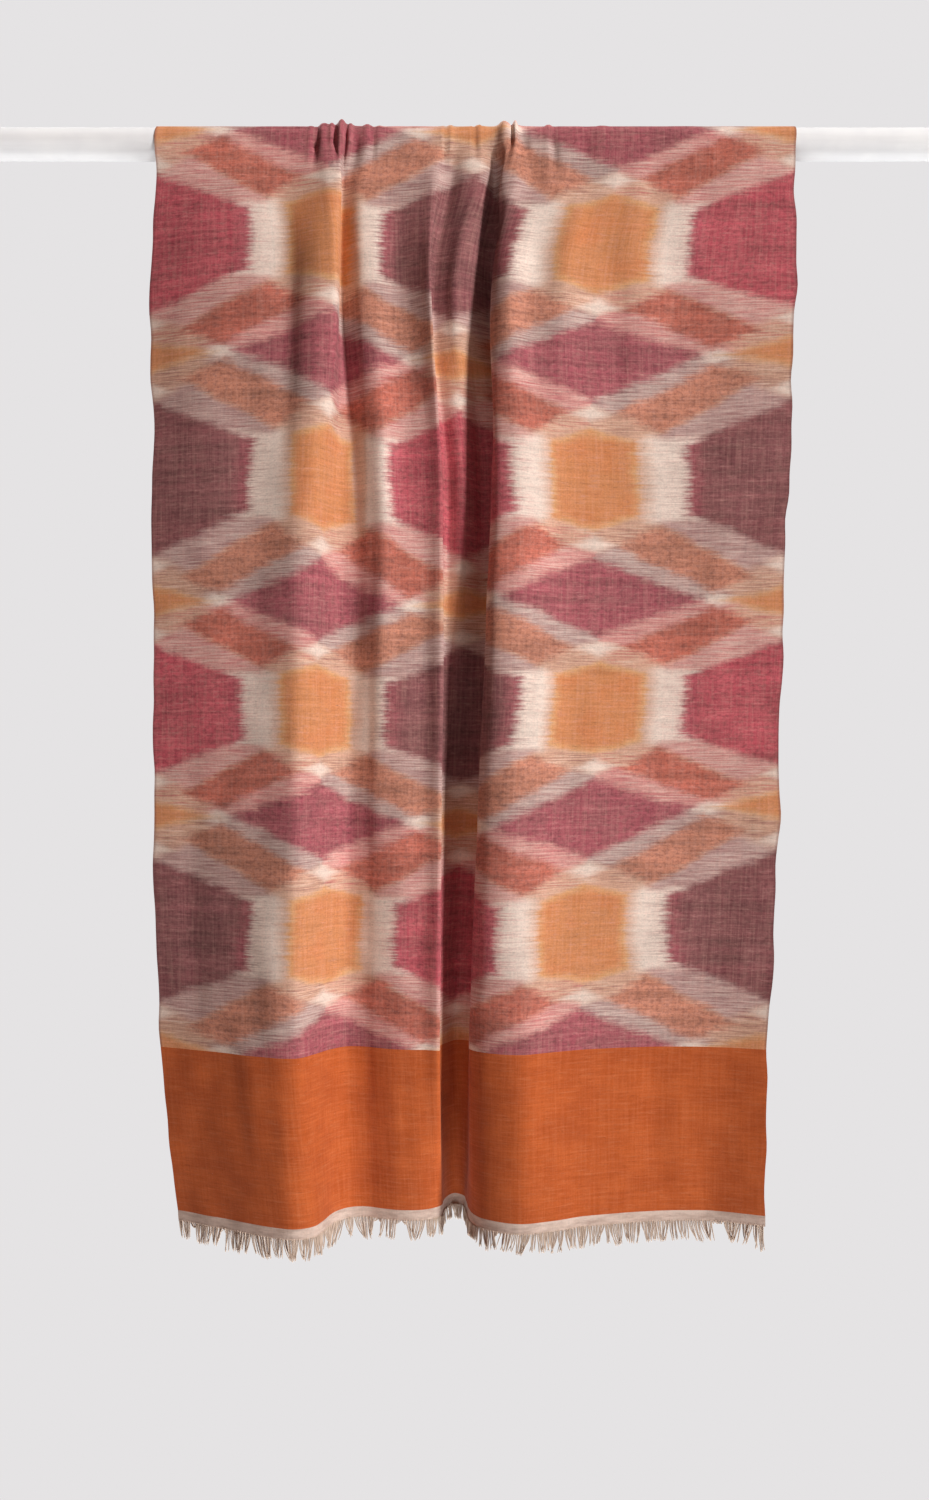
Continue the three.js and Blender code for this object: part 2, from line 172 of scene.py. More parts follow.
# ---------------------------------------------------------------- gathers at the rod and smaller creases
# Each is a soft ridge (height above 0) or trough (below 0) that runs down the front from the rod:
# cut of its middle, half width, height on top of the rod, height just below it, where it has faded out,
# and how far its cut drifts over its length.
GATHERS = [
    ("left_bump", 168, 8.5, 2.4, 2.6, 44, 2),
    ("left_slit", 161, 5, -0.5, -5.0, 36, -3),
    ("slit_rim", 154.5, 4, 0.4, 1.4, 34, -2),
    ("narrow_bump", 178.5, 5.0, 1.7, 1.4, 30, 0),
    ("groove", 184.5, 5, -0.6, -2.6, 44, 0),
    ("lip_bump", 196, 8.5, 3.6, 2.6, 50, -4),
    ("lip_gap", 205, 4, 0.6, -3.6, 50, -2),
    ("small_ridge", 211, 4.5, 1.6, 1.8, 46, 0),
    ("dark_hollow", 219, 6.5, 0, -3.0, 56, 2),
    ("pink_bump", 231.5, 6.0, 1.9, 2.0, 50, 0),
    ("hollow_after_pink", 238.5, 4, -0.2, -1.4, 40, 0),
    ("tiny_bump", 244, 4, 0.8, 0.9, 30, 0),
    ("soft_fold", 262, 8, 0.2, -0.8, 36, 0),
    ("slot_line", 315, 4.5, -0.4, -3.2, 50, -6),
    ("slot_bump", 320.5, 4.5, 1.0, 0.6, 26, 0),
    ("inner_line", 349.5, 4.5, -0.6, -2.8, 34, 3),
    ("inner_bump", 354, 4.5, 1.3, 0.6, 20, 0),
    ("double_a", 396, 11, 3.2, 2.6, 60, 4),
    ("double_notch", 409, 3.6, -1.8, -2.4, 26, 0),
    ("double_b", 416, 4.5, 3.8, 3.4, 42, 3),
    ("hollow_right", 429, 8, 0, -2.4, 44, 3),
    ("bump_mid_right", 457, 5, 1.9, 1.2, 22, 0),
    ("line_mid_right", 461, 5.5, 0, -3.4, 70, 6),
    ("faint_hollow", 494, 9, 0, -2.0, 38, 2),
    ("last_bump", 510, 6, 0.8, 0.9, 26, 0),
    ("far_left_hollow", 96, 16, 0, -0.9, 130, 6),
    ("far_right_swell", 590, 22, 0, 0.9, 150, -6),
]
# Small creases away from the rod: cut, half width, depth of the middle, half length, height.
CREASES = [
    ("left_trough", 128, 15, 190, 150, -1.6),
    ("left_swell", 66, 24, 330, 190, 1.0),
    ("left_low_trough", 40, 18, 700, 230, -1.3),
    ("plateau_line", 272, 8, 250, 130, -0.9),
    ("plateau_soft", 296, 9, 480, 160, 0.8),
    ("right_trough", 540, 17, 190, 140, -2.2),
    ("upper_ridge", 545, 17, 84, 90, 2.4),
    ("upper_swell", 490, 15, 92, 84, 2.3),
    ("right_low_trough", 505, 20, 640, 220, -1.4),
    ("right_swell", 640, 24, 420, 210, 1.2),
    ("right_hem_trough", 600, 22, 930, 130, -1.8),
    ("left_hem_swell", 96, 20, 930, 120, 1.6),
    ("middle_hem_trough", 262, 10, 930, 110, -1.2),
]
BACK_CREASES = [
    ("left_trough", 88, 18, 220, 170, -1.8),
    ("left_swell", 40, 22, 520, 210, 1.2),
    ("valley_line", 243, 9, 330, 190, -1.2),
    ("bulge_line", 351, 9, 560, 240, 1.4),
    ("right_trough", 500, 18, 300, 200, -2.0),
    ("right_low", 590, 20, 760, 170, -1.6),
    ("right_swell", 655, 20, 420, 180, 1.1),
]


def bump(t):
    return np.where(np.abs(t) < 1, (1 - t * t) ** 2, 0.0)


def fade(t):
    """1 at 0, 0 at 1 and beyond."""
    t = np.clip(t, 0, 1)
    return 1 - t * t * (3 - 2 * t)


def wander(seed, size, span):
    """A smooth seeded curve over 0..span with knots every size, values within -1..1."""
    rng = np.random.RandomState(seed)
    n = int(span / size) + 4
    return np.arange(n) * size - size, rng.uniform(-1, 1, n)


def wandered(seed, size, span, t):
    at, value = wander(seed, size, span)
    return smooth(at, value, t)


def relief_front(u, z):
    """How far each point stands out from the folds in the tables, [row, column]."""
    out = np.zeros((len(z), len(u)))
    zz = np.maximum(z, 0)[:, None]
    for name, cut, half, _, below, end, drift in GATHERS:
        centre = cut + drift * zz / max(end, 1)
        out += below * bump((u[None, :] - centre) / (half * (1 + 0.5 * zz / end))) * fade(zz / end)
    for name, cut, half, mid, length, height in CREASES:
        centre = cut + 4 * np.sin(zz / length * 1.7)
        out += height * bump((u[None, :] - centre) / half) * bump((zz - mid) / length)
    return out


def relief_over(u, turn):
    """The same over the rod, from its front (turn 0) to its back (turn 1)."""
    out = np.zeros((len(turn), len(u)))
    over = np.sin(np.pi * turn)[:, None]
    front = (turn < 0.5)[:, None]
    for name, cut, half, top, below, end, drift in GATHERS:
        low = np.where(front, below, 0.7 * below)
        out += (low + (top - low) * over**1.5) * bump((u[None, :] - cut) / half)
    return out


def relief_back(u, z):
    out = np.zeros((len(z), len(u)))
    zz = np.maximum(z, 0)[:, None]
    for name, cut, half, _, below, end, drift in GATHERS:
        centre = cut - drift * zz / max(end, 1)
        out += 0.7 * below * bump((u[None, :] - centre) / (half * (1 + 0.5 * zz / end))) * fade(zz / end)
    for name, cut, half, mid, length, height in BACK_CREASES:
        centre = cut + 4 * np.sin(zz / length * 1.7)
        out += height * bump((u[None, :] - centre) / half) * bump((zz - mid) / length)
    return out


# The selvedges aren't quite straight: amplitude and knot spacing of each wave.
SELVEDGE_WAVES = [(2.1, 58), (1.3, 22)]


def selvedge(u, along, points):
    """Moves the cloth's two edges in and out a little, along the cloth."""
    out = points.copy()
    for side, seed in ((0, 31), (1, 47)):
        distance = (u - U[0]) if side == 0 else (U[-1] - u)
        shift = sum(
            a * wandered(seed + k, size, 2400.0, along + 1200.0) for k, (a, size) in enumerate(SELVEDGE_WAVES)
        )
        near = fade(distance / 16.0)[None, :] * shift[:, None]
        out[..., 0] += near
    return out


def slack(u, v, seed):
    """The cloth's own unevenness, a fraction of a millimetre, [row, column]."""
    out = np.zeros((len(v), len(u)))
    rng = np.random.RandomState(seed)
    for k in range(26):
        across = rng.uniform(26, 90)
        along = rng.uniform(60, 260)
        lean = rng.uniform(-0.12, 0.12)
        a, b = rng.uniform(0, 2 * math.pi, 2)
        out += (
            rng.uniform(0.04, 0.13)
            * np.sin(2 * math.pi * (u[None, :] + lean * v[:, None]) / across + a)
            * np.sin(2 * math.pi * v[:, None] / along + b)
        )
    return out


# ---------------------------------------------------------------- the cloth's grid
def columns():
    """Cuts across the cloth, closer where the folds and gathers are tight."""
    fine = [(148, 214, 2.0), (214, 242, 2.3), (318, 332, 2.3), (332, 404, 3.6), (404, 440, 2.0), (440, 484, 2.8)]
    out, u = [], 0.0
    while u < CUT_WIDTH - 1e-6:
        out.append(u)
        step = 6.0
        for a, b, s in fine:
            if a - 3 <= u < b:
                step = s
        if not any(a - 3 <= u < b for a, b, s in fine) and 100 < u < 560:
            step = 4.4
        u += step
    if CUT_WIDTH - out[-1] < 2.5:
        out.pop()
    out.append(CUT_WIDTH)
    return np.array(out)


def levels(stops):
    """Depths from 0 down, stops is (end, step) pairs, each stretch divided evenly."""
    out, z = [0.0], 0.0
    for end, step in stops:
        n = max(1, int(round((end - z) / step)))
        out += [z + (end - z) * (k + 1) / n for k in range(n)]
        z = end
    return np.array(out)


U = columns()
Z_FRONT = levels([(16, 2.7), (64, 4.0), (130, 6), (FRONT_BAND_TOP, 8.2), (FRONT_BAND_END, 8.6), (FRONT_EDGE_END, 5)])
TURN = np.linspace(0, 1, 19)
Z_BACK = levels([(16, 4), (60, 7), (BACK_BAND_TOP, 14), (BACK_BAND_END, 13), (BACK_EDGE_END, 5)])


def front_points(u, z):
    x, off = front_at(u, z)
    return np.stack([x, -off, np.broadcast_to(-z[:, None], x.shape)], -1)


def back_points(u, z):
    x, off = back_at(u, z)
    return np.stack([x, off, np.broadcast_to(-z[:, None], x.shape)], -1)


def over_points(u, turn):
    x, off = front_at(u, np.zeros(1))
    over = np.sin(np.pi * turn)[:, None]
    radius = ON_ROD + (off - ON_ROD) * (1 - (1 - GATHER_ON_ROD) * over)
    radius = radius + np.maximum(relief_over(u, turn), ON_ROD - radius)
    x = np.broadcast_to(x, radius.shape)
    return np.stack([x, -radius * np.cos(np.pi * turn)[:, None], radius * over], -1)


def outward(points):
    """Unit normals of a grid of points, on the side away from the rod at its rows' start."""
    across = np.gradient(points, axis=1)
    down = np.gradient(points, axis=0)
    n = np.cross(down, across)
    return n / np.linalg.norm(n, axis=-1, keepdims=True)


def lift(points, u, z, amount, sign):
    """Moves a hanging half's points out by amount: straight out from the rod near it, along the cloth's own
    normal further down. sign is -1 for the front half and 1 for the back half."""
    n = outward(points) * (1 if sign < 0 else -1)
    straight = np.zeros_like(n)
    straight[..., 1] = sign
    k = fade(z / 140.0)[:, None, None]
    d = straight * k + n * (1 - k)
    out = points + d * amount[..., None]
    near = (z < ROD_RADIUS)[:, None]
    least = np.sqrt(np.maximum(ON_ROD**2 - z[:, None] ** 2, 0))
    y = out[..., 1] * sign
    out[..., 1] = np.where(near, np.maximum(y, least), y) * sign
    return out


def cloth_grid():
    """The middle of the cloth from the front half's woven edge, over the rod, to the back half's. Also each row's
    place along the flat cloth, from the top of the rod, down the front."""
    zf, zb = Z_FRONT, Z_BACK
    front = front_points(U, zf)
    front = lift(front, U, zf, relief_front(U, zf) + slack(U, zf, 3) * (1 - fade(zf / 60.0))[:, None], -1)
    back = back_points(U, zb)
    back = lift(back, U, zb, relief_back(U, zb) + slack(U, -zb, 4) * (1 - fade(zb / 60.0))[:, None], 1)
    over = over_points(U, TURN)
    points = np.concatenate([front[::-1], over[1:-1], back])
    along = np.concatenate([(QUARTER + zf)[::-1], QUARTER * (1 - 2 * TURN[1:-1]), -(QUARTER + zb)])
    return selvedge(U, along, points), along


# ---------------------------------------------------------------- the pattern's lattice on the flat cloth
# Places along the cloth of the levels where four diamonds meet, and how uneven each is across the width.
LATTICE_ALONG = [-862, -642.5, -423, -203.5, 17, 232.5, 464.5, 667.5, 887.5]
LATTICE_INDEX = [-4, -3, -2, -1, 0, 1, 2, 3, 4]
UNEVEN_CUTS = [0, 85, 264, 430, 455, 621, 700]
UNEVEN = [
    (0, 0, 0, 0, 0, 0, 0),
    (4, 2, -5, -3, 1, 5, 2),
    (-3, -1, 4, 6, 3, -2, -5),
    (2, 3, -2, -4, 0, 3, 5),
    (0, 0, 2, 0, 0, -1, -2),
    (-3, -3, 4, 8, 6, -5, -9),
    (1, 1.5, 5, -3, -4, -3, -1),
    (-1, -1, 8, 11, 9, -6, -12),
    (0, 0, 0, 0, 0, 0, 0),
]


# The upright edges of the hexagons, as cuts across the cloth, and how far each sits to the right of its even place
# in each row of figures: the rows' middles along the cloth come first.
EDGE_CUTS = [0, 96, 129, 221, 254, 350, 446, 479, 571, 604, 700]
EDGE_SHIFT = [
    (-750, 0, 4, 2, -3, -1, 0, 2, 6, 3, -2, 0),
    (-535, 0, -5, -3, 4, 5, 0, -4, -1, 5, 6, 0),
    (-313, 0, 3, 5, 2, -3, 0, 4, 2, -4, -5, 0),
    (-93, 0, -2, 2, 5, 3, 0, -3, -5, 2, 4, 0),
    (119, 0, -2.5, -4, -0.5, -6, -2, -1.5, 3.5, 1, 1, 0),
    (337, 0, 1, 6, -11, -4, -6, -9.5, -6, -10, 5, 0),
    (559, 0, -8.5, -6, -14.5, -11.5, -4, 0.5, 2, 4, 5, 0),
    (764, 0, 4, 7.5, 5.5, 5, 0, -9.5, -4.5, -5.5, -2, 0),
]


def lattice(u, along):
    """Column and row phases of the pattern, each [row, column]: whole column numbers are the lines of large
    hexagons, whole row numbers the levels where the diamonds meet."""
    uneven = np.array([np.interp(u, UNEVEN_CUTS, row) for row in UNEVEN])  # level, column
    q = np.empty((len(along), len(u)))
    for i in range(len(u)):
        q[:, i] = np.interp(along, np.array(LATTICE_ALONG) + uneven[:, i] * 0.95, LATTICE_INDEX)
    low = along < LATTICE_ALONG[0]
    high = along > LATTICE_ALONG[-1]
    q[low] = LATTICE_INDEX[0]
    q[high] = LATTICE_INDEX[-1]
    shift = np.zeros_like(q)
    for k, (a, b, c) in enumerate([(2.2, 160, 0.3), (1.6, 90, 1.9), (1.2, 310, 4.0)]):
        shift += a * np.sin(2 * math.pi * along[:, None] / b + c + u[None, :] / 190.0) * 0.6
    placed = np.empty_like(shift)
    at = [row[0] for row in EDGE_SHIFT]
    for k, down in enumerate(along):
        moved = [c + np.interp(down, at, [row[1 + i] for row in EDGE_SHIFT]) for i, c in enumerate(EDGE_CUTS)]
        placed[k] = np.interp(u, moved, EDGE_CUTS)
    p = (placed + shift) / 350.0
    return p, q


# ---------------------------------------------------------------- meshes
def shell(name, points, thickness, uvs, bake_rows, material_of_row, materials):
    """A closed thin shell round a grid of middle points in millimetres. uvs is {name: [row, column, 2]}."""
    rows, cols = points.shape[:2]
    n = outward(points)
    both = np.concatenate([points - n * thickness / 2, points + n * thickness / 2]).reshape(-1, 3) * MM
    at = np.arange(2 * rows * cols).reshape(2, rows, cols)
    faces, kinds, bake, mats, cut = [], [], [], [], []
    su = (U - U[0]) / (U[-1] - U[0])
    sv = bake_rows

    def put(a, b, c, d, corners, kind, mat):
        faces.append(np.stack([a.ravel(), b.ravel(), c.ravel(), d.ravel()], -1))
        bake.append(np.stack([np.stack([np.broadcast_to(x, a.shape).ravel() for x in p], -1) for p in corners], 1))
        kinds.append(np.full(a.size, kind))
        mats.append(np.broadcast_to(mat, a.shape).ravel())

    m = np.asarray(material_of_row)[:, None]
    u0, u1 = su[:-1][None, :], su[1:][None, :]
    v0, v1 = sv[:-1][:, None], sv[1:][:, None]
    lo, wide = 0.005, 0.485
    for side, base in ((0, lo), (1, 0.51)):
        a, b, c, d = at[side, :-1, :-1], at[side, 1:, :-1], at[side, 1:, 1:], at[side, :-1, 1:]
        corners = [(base + wide * u0, v0), (base + wide * u0, v1), (base + wide * u1, v1), (base + wide * u1, v0)]
        if side == 0:
            put(a, b, c, d, corners, 0, m)
        else:
            put(a, d, c, b, [corners[0], corners[3], corners[2], corners[1]], 0, m)
    # the rims: the two selvedges, then the two ends
    mr = np.asarray(material_of_row)
    w0, w1 = sv[:-1], sv[1:]
    for i, x0, flip in ((0, 0.4915, False), (cols - 1, 0.4975, True)):
        a, b, c, d = at[0, :-1, i], at[0, 1:, i], at[1, 1:, i], at[1, :-1, i]
        corners = [(x0, w0), (x0, w1), (x0 + 0.004, w1), (x0 + 0.004, w0)]
        if flip:
            put(a, b, c, d, corners, 1, mr)
        else:
            put(a, d, c, b, [corners[0], corners[3], corners[2], corners[1]], 1, mr)
    s0, s1 = su[:-1], su[1:]
    for j, y0, flip in ((0, 0.0005, False), (rows - 1, 0.9965, True)):
        a, b, c, d = at[0, j, :-1], at[0, j, 1:], at[1, j, 1:], at[1, j, :-1]
        corners = [(lo + wide * s0, y0), (lo + wide * s1, y0), (lo + wide * s1, y0 + 0.002), (lo + wide * s0, y0 + 0.002)]
        mm = np.full(cols - 1, mr[min(j, rows - 2)])
        if flip:
            put(a, d, c, b, [corners[0], corners[3], corners[2], corners[1]], 1, mm)
        else:
            put(a, b, c, d, corners, 1, mm)
    faces, bake = np.concatenate(faces), np.concatenate(bake)
    kinds, mats = np.concatenate(kinds), np.concatenate(mats)
    mesh = bpy.data.meshes.new(name)
    mesh.from_pydata(both.tolist(), [], faces[:, ::-1].tolist())
    for mat in materials:
        mesh.materials.append(mat)
    mesh.polygons.foreach_set("material_index", mats.astype(np.int32))
    mesh.polygons.foreach_set("use_smooth", np.ones(len(faces), bool))
    layer = mesh.uv_layers.new(name="OFBake")
    layer.data.foreach_set("uv", bake[:, ::-1].reshape(-1).astype(np.float32))
    flat_index = faces[:, ::-1].reshape(-1) % (rows * cols)
    for key, value in uvs.items():
        layer = mesh.uv_layers.new(name=key)
        layer.data.foreach_set("uv", value.reshape(-1, 2)[flat_index].reshape(-1).astype(np.float32))
    mesh.update()
    # the rims' long edges stay crisp
    rim = set()
    for f in faces[kinds == 1]:
        for i in range(4):
            e = (int(f[i]), int(f[(i + 1) % 4]))
            rim.add((min(e), max(e)))
    sharp = np.zeros(len(mesh.edges), bool)
    ends = np.empty(len(mesh.edges) * 2, np.int32)
    mesh.edges.foreach_get("vertices", ends)
    ends = ends.reshape(-1, 2)
    half = rows * cols
    for k, (a, b) in enumerate(ends):
        if (a < half) == (b < half) and (min(a, b), max(a, b)) in rim:
            sharp[k] = True
    attribute = mesh.attributes.new("sharp_edge", "BOOLEAN", "EDGE")
    attribute.data.foreach_set("value", sharp)
    mesh.validate()
    obj = bpy.data.objects.new(name, mesh)
    bpy.context.scene.collection.objects.link(obj)
    return obj


# ---------------------------------------------------------------- shader arithmetic
def linear(code):
    """A colour from its hex code."""
    c = [int(code[i : i + 2], 16) / 255 for i in (1, 3, 5)]
    return [x / 12.92 if x <= 0.04045 else ((x + 0.055) / 1.055) ** 2.4 for x in c] + [1.0]


class Net:
    """Builds a node tree from arithmetic on sockets and numbers."""

    def __init__(self, name):
        self.material = bpy.data.materials.new(name)
        self.material.use_nodes = True
        self.tree = self.material.node_tree
        self.tree.nodes.clear()

    def node(self, kind, **props):
        n = self.tree.nodes.new(kind)
        for k, v in props.items():
            setattr(n, k, v)
        return n

    def put(self, socket, value):
        if isinstance(value, Val):
            self.tree.links.new(value.socket, socket)
        elif isinstance(value, bpy.types.NodeSocket):
            self.tree.links.new(value, socket)
        else:
            socket.default_value = value

    def math(self, op, *args, clamp=False):
        n = self.node("ShaderNodeMath", operation=op, use_clamp=clamp)
        for i, a in enumerate(args):
            self.put(n.inputs[i], a)
        return Val(self, n.outputs[0])

    def uv(self, name):
        n = self.node("ShaderNodeUVMap", uv_map=name)
        s = self.node("ShaderNodeSeparateXYZ")
        self.tree.links.new(n.outputs[0], s.inputs[0])
        return Val(self, s.outputs[0]), Val(self, s.outputs[1])

    def noise(self, x, y, z=0.0, detail=2.0, rough=0.5):
        c = self.node("ShaderNodeCombineXYZ")
        for i, a in enumerate((x, y, z)):
            self.put(c.inputs[i], a)
        n = self.node("ShaderNodeTexNoise", noise_dimensions="3D")
        self.tree.links.new(c.outputs[0], n.inputs["Vector"])
        n.inputs["Scale"].default_value = 1.0
        n.inputs["Detail"].default_value = detail
        n.inputs["Roughness"].default_value = rough
        return Val(self, n.outputs[0])

    def step(self, lo, hi, x):
        """Smoothstep of x from lo to hi, which may be the other way round."""
        n = self.node("ShaderNodeMapRange", interpolation_type="SMOOTHSTEP")
        self.put(n.inputs["Value"], x)
        if lo < hi:
            a, b, c, d = lo, hi, 0.0, 1.0
        else:
            a, b, c, d = hi, lo, 1.0, 0.0
        n.inputs["From Min"].default_value = a
        n.inputs["From Max"].default_value = b
        n.inputs["To Min"].default_value = c
        n.inputs["To Max"].default_value = d
        return Val(self, n.outputs["Result"])

    def mix(self, factor, a, b, kind="MIX"):
        n = self.node("ShaderNodeMix", data_type="RGBA", blend_type=kind)
        n.clamp_factor = True
        self.put(n.inputs[0], factor)
        self.put(n.inputs[6], a)
        self.put(n.inputs[7], b)
        return n.outputs[2]

    def grey(self, value):
        c = self.node("ShaderNodeCombineColor")
        for i in range(3):
            self.put(c.inputs[i], value)
        return c.outputs[0]

    def finish(self, colour, roughness, height, bump=0.3, distance=0.0004, sheen=0.0, sheen_tint=None, specular=0.25):
        out = self.node("ShaderNodeOutputMaterial")
        b = self.node("ShaderNodeBsdfPrincipled")
        self.put(b.inputs["Base Color"], colour)
        self.put(b.inputs["Roughness"], roughness)
        b.inputs["Specular IOR Level"].default_value = specular
        b.inputs["Sheen Weight"].default_value = sheen
        b.inputs["Sheen Roughness"].default_value = 0.45
        if sheen_tint:
            b.inputs["Sheen Tint"].default_value = sheen_tint
        if height is not None:
            n = self.node("ShaderNodeBump")
            n.inputs["Strength"].default_value = bump
            n.inputs["Distance"].default_value = distance
            self.put(n.inputs["Height"], height)
            self.tree.links.new(n.outputs[0], b.inputs["Normal"])
        self.tree.links.new(b.outputs[0], out.inputs[0])
        return self.material


class Val:
    """A number that a node gives."""

    def __init__(self, net, socket):
        self.net, self.socket = net, socket

    def __add__(self, o):
        return self.net.math("ADD", self, o)

    __radd__ = __add__

    def __sub__(self, o):
        return self.net.math("SUBTRACT", self, o)

    def __rsub__(self, o):
        return self.net.math("SUBTRACT", o, self)

    def __mul__(self, o):
        return self.net.math("MULTIPLY", self, o)

    __rmul__ = __mul__

    def __truediv__(self, o):
        return self.net.math("DIVIDE", self, o)

    def __neg__(self):
        return self.net.math("MULTIPLY", self, -1.0)

    def __abs__(self):
        return self.net.math("ABSOLUTE", self)

    def min(self, o):
        return self.net.math("MINIMUM", self, o)

    def max(self, o):
        return self.net.math("MAXIMUM", self, o)


# ---------------------------------------------------------------- the cloth's colours
CREAM = linear("#e8d9cd")
CRIMSON = linear("#b04353")
PLUM = linear("#794147")
ORANGE = linear("#cb8450")
ORANGE_DEEP = linear("#be6c3c")
YELLOWED = linear("#d9a874")
BRICK = linear("#b25c4b")
BROWN = linear("#b87860")
DIAMOND = linear("#a2495a")
DIAMOND_DARK = linear("#843e4b")
BLEED = linear("#a8485a")
PINK_BAND = linear("#cf9790")
GREY_BAND = linear("#b8a19b")
ROSE_BAND = linear("#cfa098")
LILAC_BAND = linear("#ba9c97")
PEACH_BAND = linear("#cda38a")
# A dark dye for the threads that show through; the same colour is also painted along the selvedges as their shade.
DARK_DYE_AND_EDGE_SHADE = linear("#582430")
WARP = linear("#cba294")
TERRACOTTA = linear("#bc5a26")
TERRACOTTA_DEEP = linear("#93380f")
HEATHER = linear("#c8805a")
ECRU = linear("#d3c0b4")
ECRU_DEEP = linear("#b7a296")


def weave(net, u, v):
    """The plain weave, in millimetres of flat cloth: lines of warp (up and down) and weft (across), fine ones and
    thicker uneven ones. Returns the warp's and the weft's show-through, the lines' brightness and their height."""
    warp = net.noise(u * 0.95, v * 0.03, 3.0, detail=2.0, rough=0.6) - 0.5
    weft = net.noise(u * 0.035, v * 0.95, 7.0, detail=2.0, rough=0.6) - 0.5
    warp_wide = net.noise(u * 0.36, v * 0.014, 11.0, detail=2.0, rough=0.6) - 0.5
    weft_wide = net.noise(u * 0.016, v * 0.34, 13.0, detail=2.0, rough=0.6) - 0.5
    cross = net.noise(u * 0.55, v * 0.55, 17.0, detail=2.0, rough=0.6) - 0.5
    warps = warp * 0.55 + warp_wide * 0.75
    wefts = weft * 0.55 + weft_wide * 0.75
    height = warp * 0.5 + weft * 0.5 + cross * 0.25
    return warps, wefts, cross, height


def cloth_finish(net, colour, warps, wefts, cross, height, speck_seed, strength=1.0, warp_colour=WARP):
    """Threads, slubs and neps over a dyed colour."""
    # Warp ends are one paler, dustier colour all through, and show as thin upright lines.
    colour = net.mix(net.step(-0.20, 0.34, warps) * (0.20 * strength) + 0.03, colour, warp_colour)
    # Some wefts took less dye and some more.
    colour = net.mix(net.step(-0.05, 0.36, wefts) * (0.16 * strength), colour, warp_colour)
    shade = 1.0 + (wefts * 0.44 + warps * 0.24 + cross * 0.46) * strength
    u, v = net.uv("flat")
    dark = net.step(0.60, 0.74, net.noise(u * 0.11, v * 0.75, speck_seed, detail=2.0, rough=0.7))
    nep = net.step(0.77, 0.86, net.noise(u * 0.33, v * 0.5, speck_seed + 6.0, detail=1.0))
    shade = shade * (1.0 - dark * 0.30 * strength)
    colour = net.mix(nep * 0.16, colour, CREAM)
    colour = net.mix(1.0, colour, net.grey(shade), "MULTIPLY")
    return net.finish(colour, 0.88, height, bump=0.3, distance=0.0005, sheen=0.03, specular=0.12)


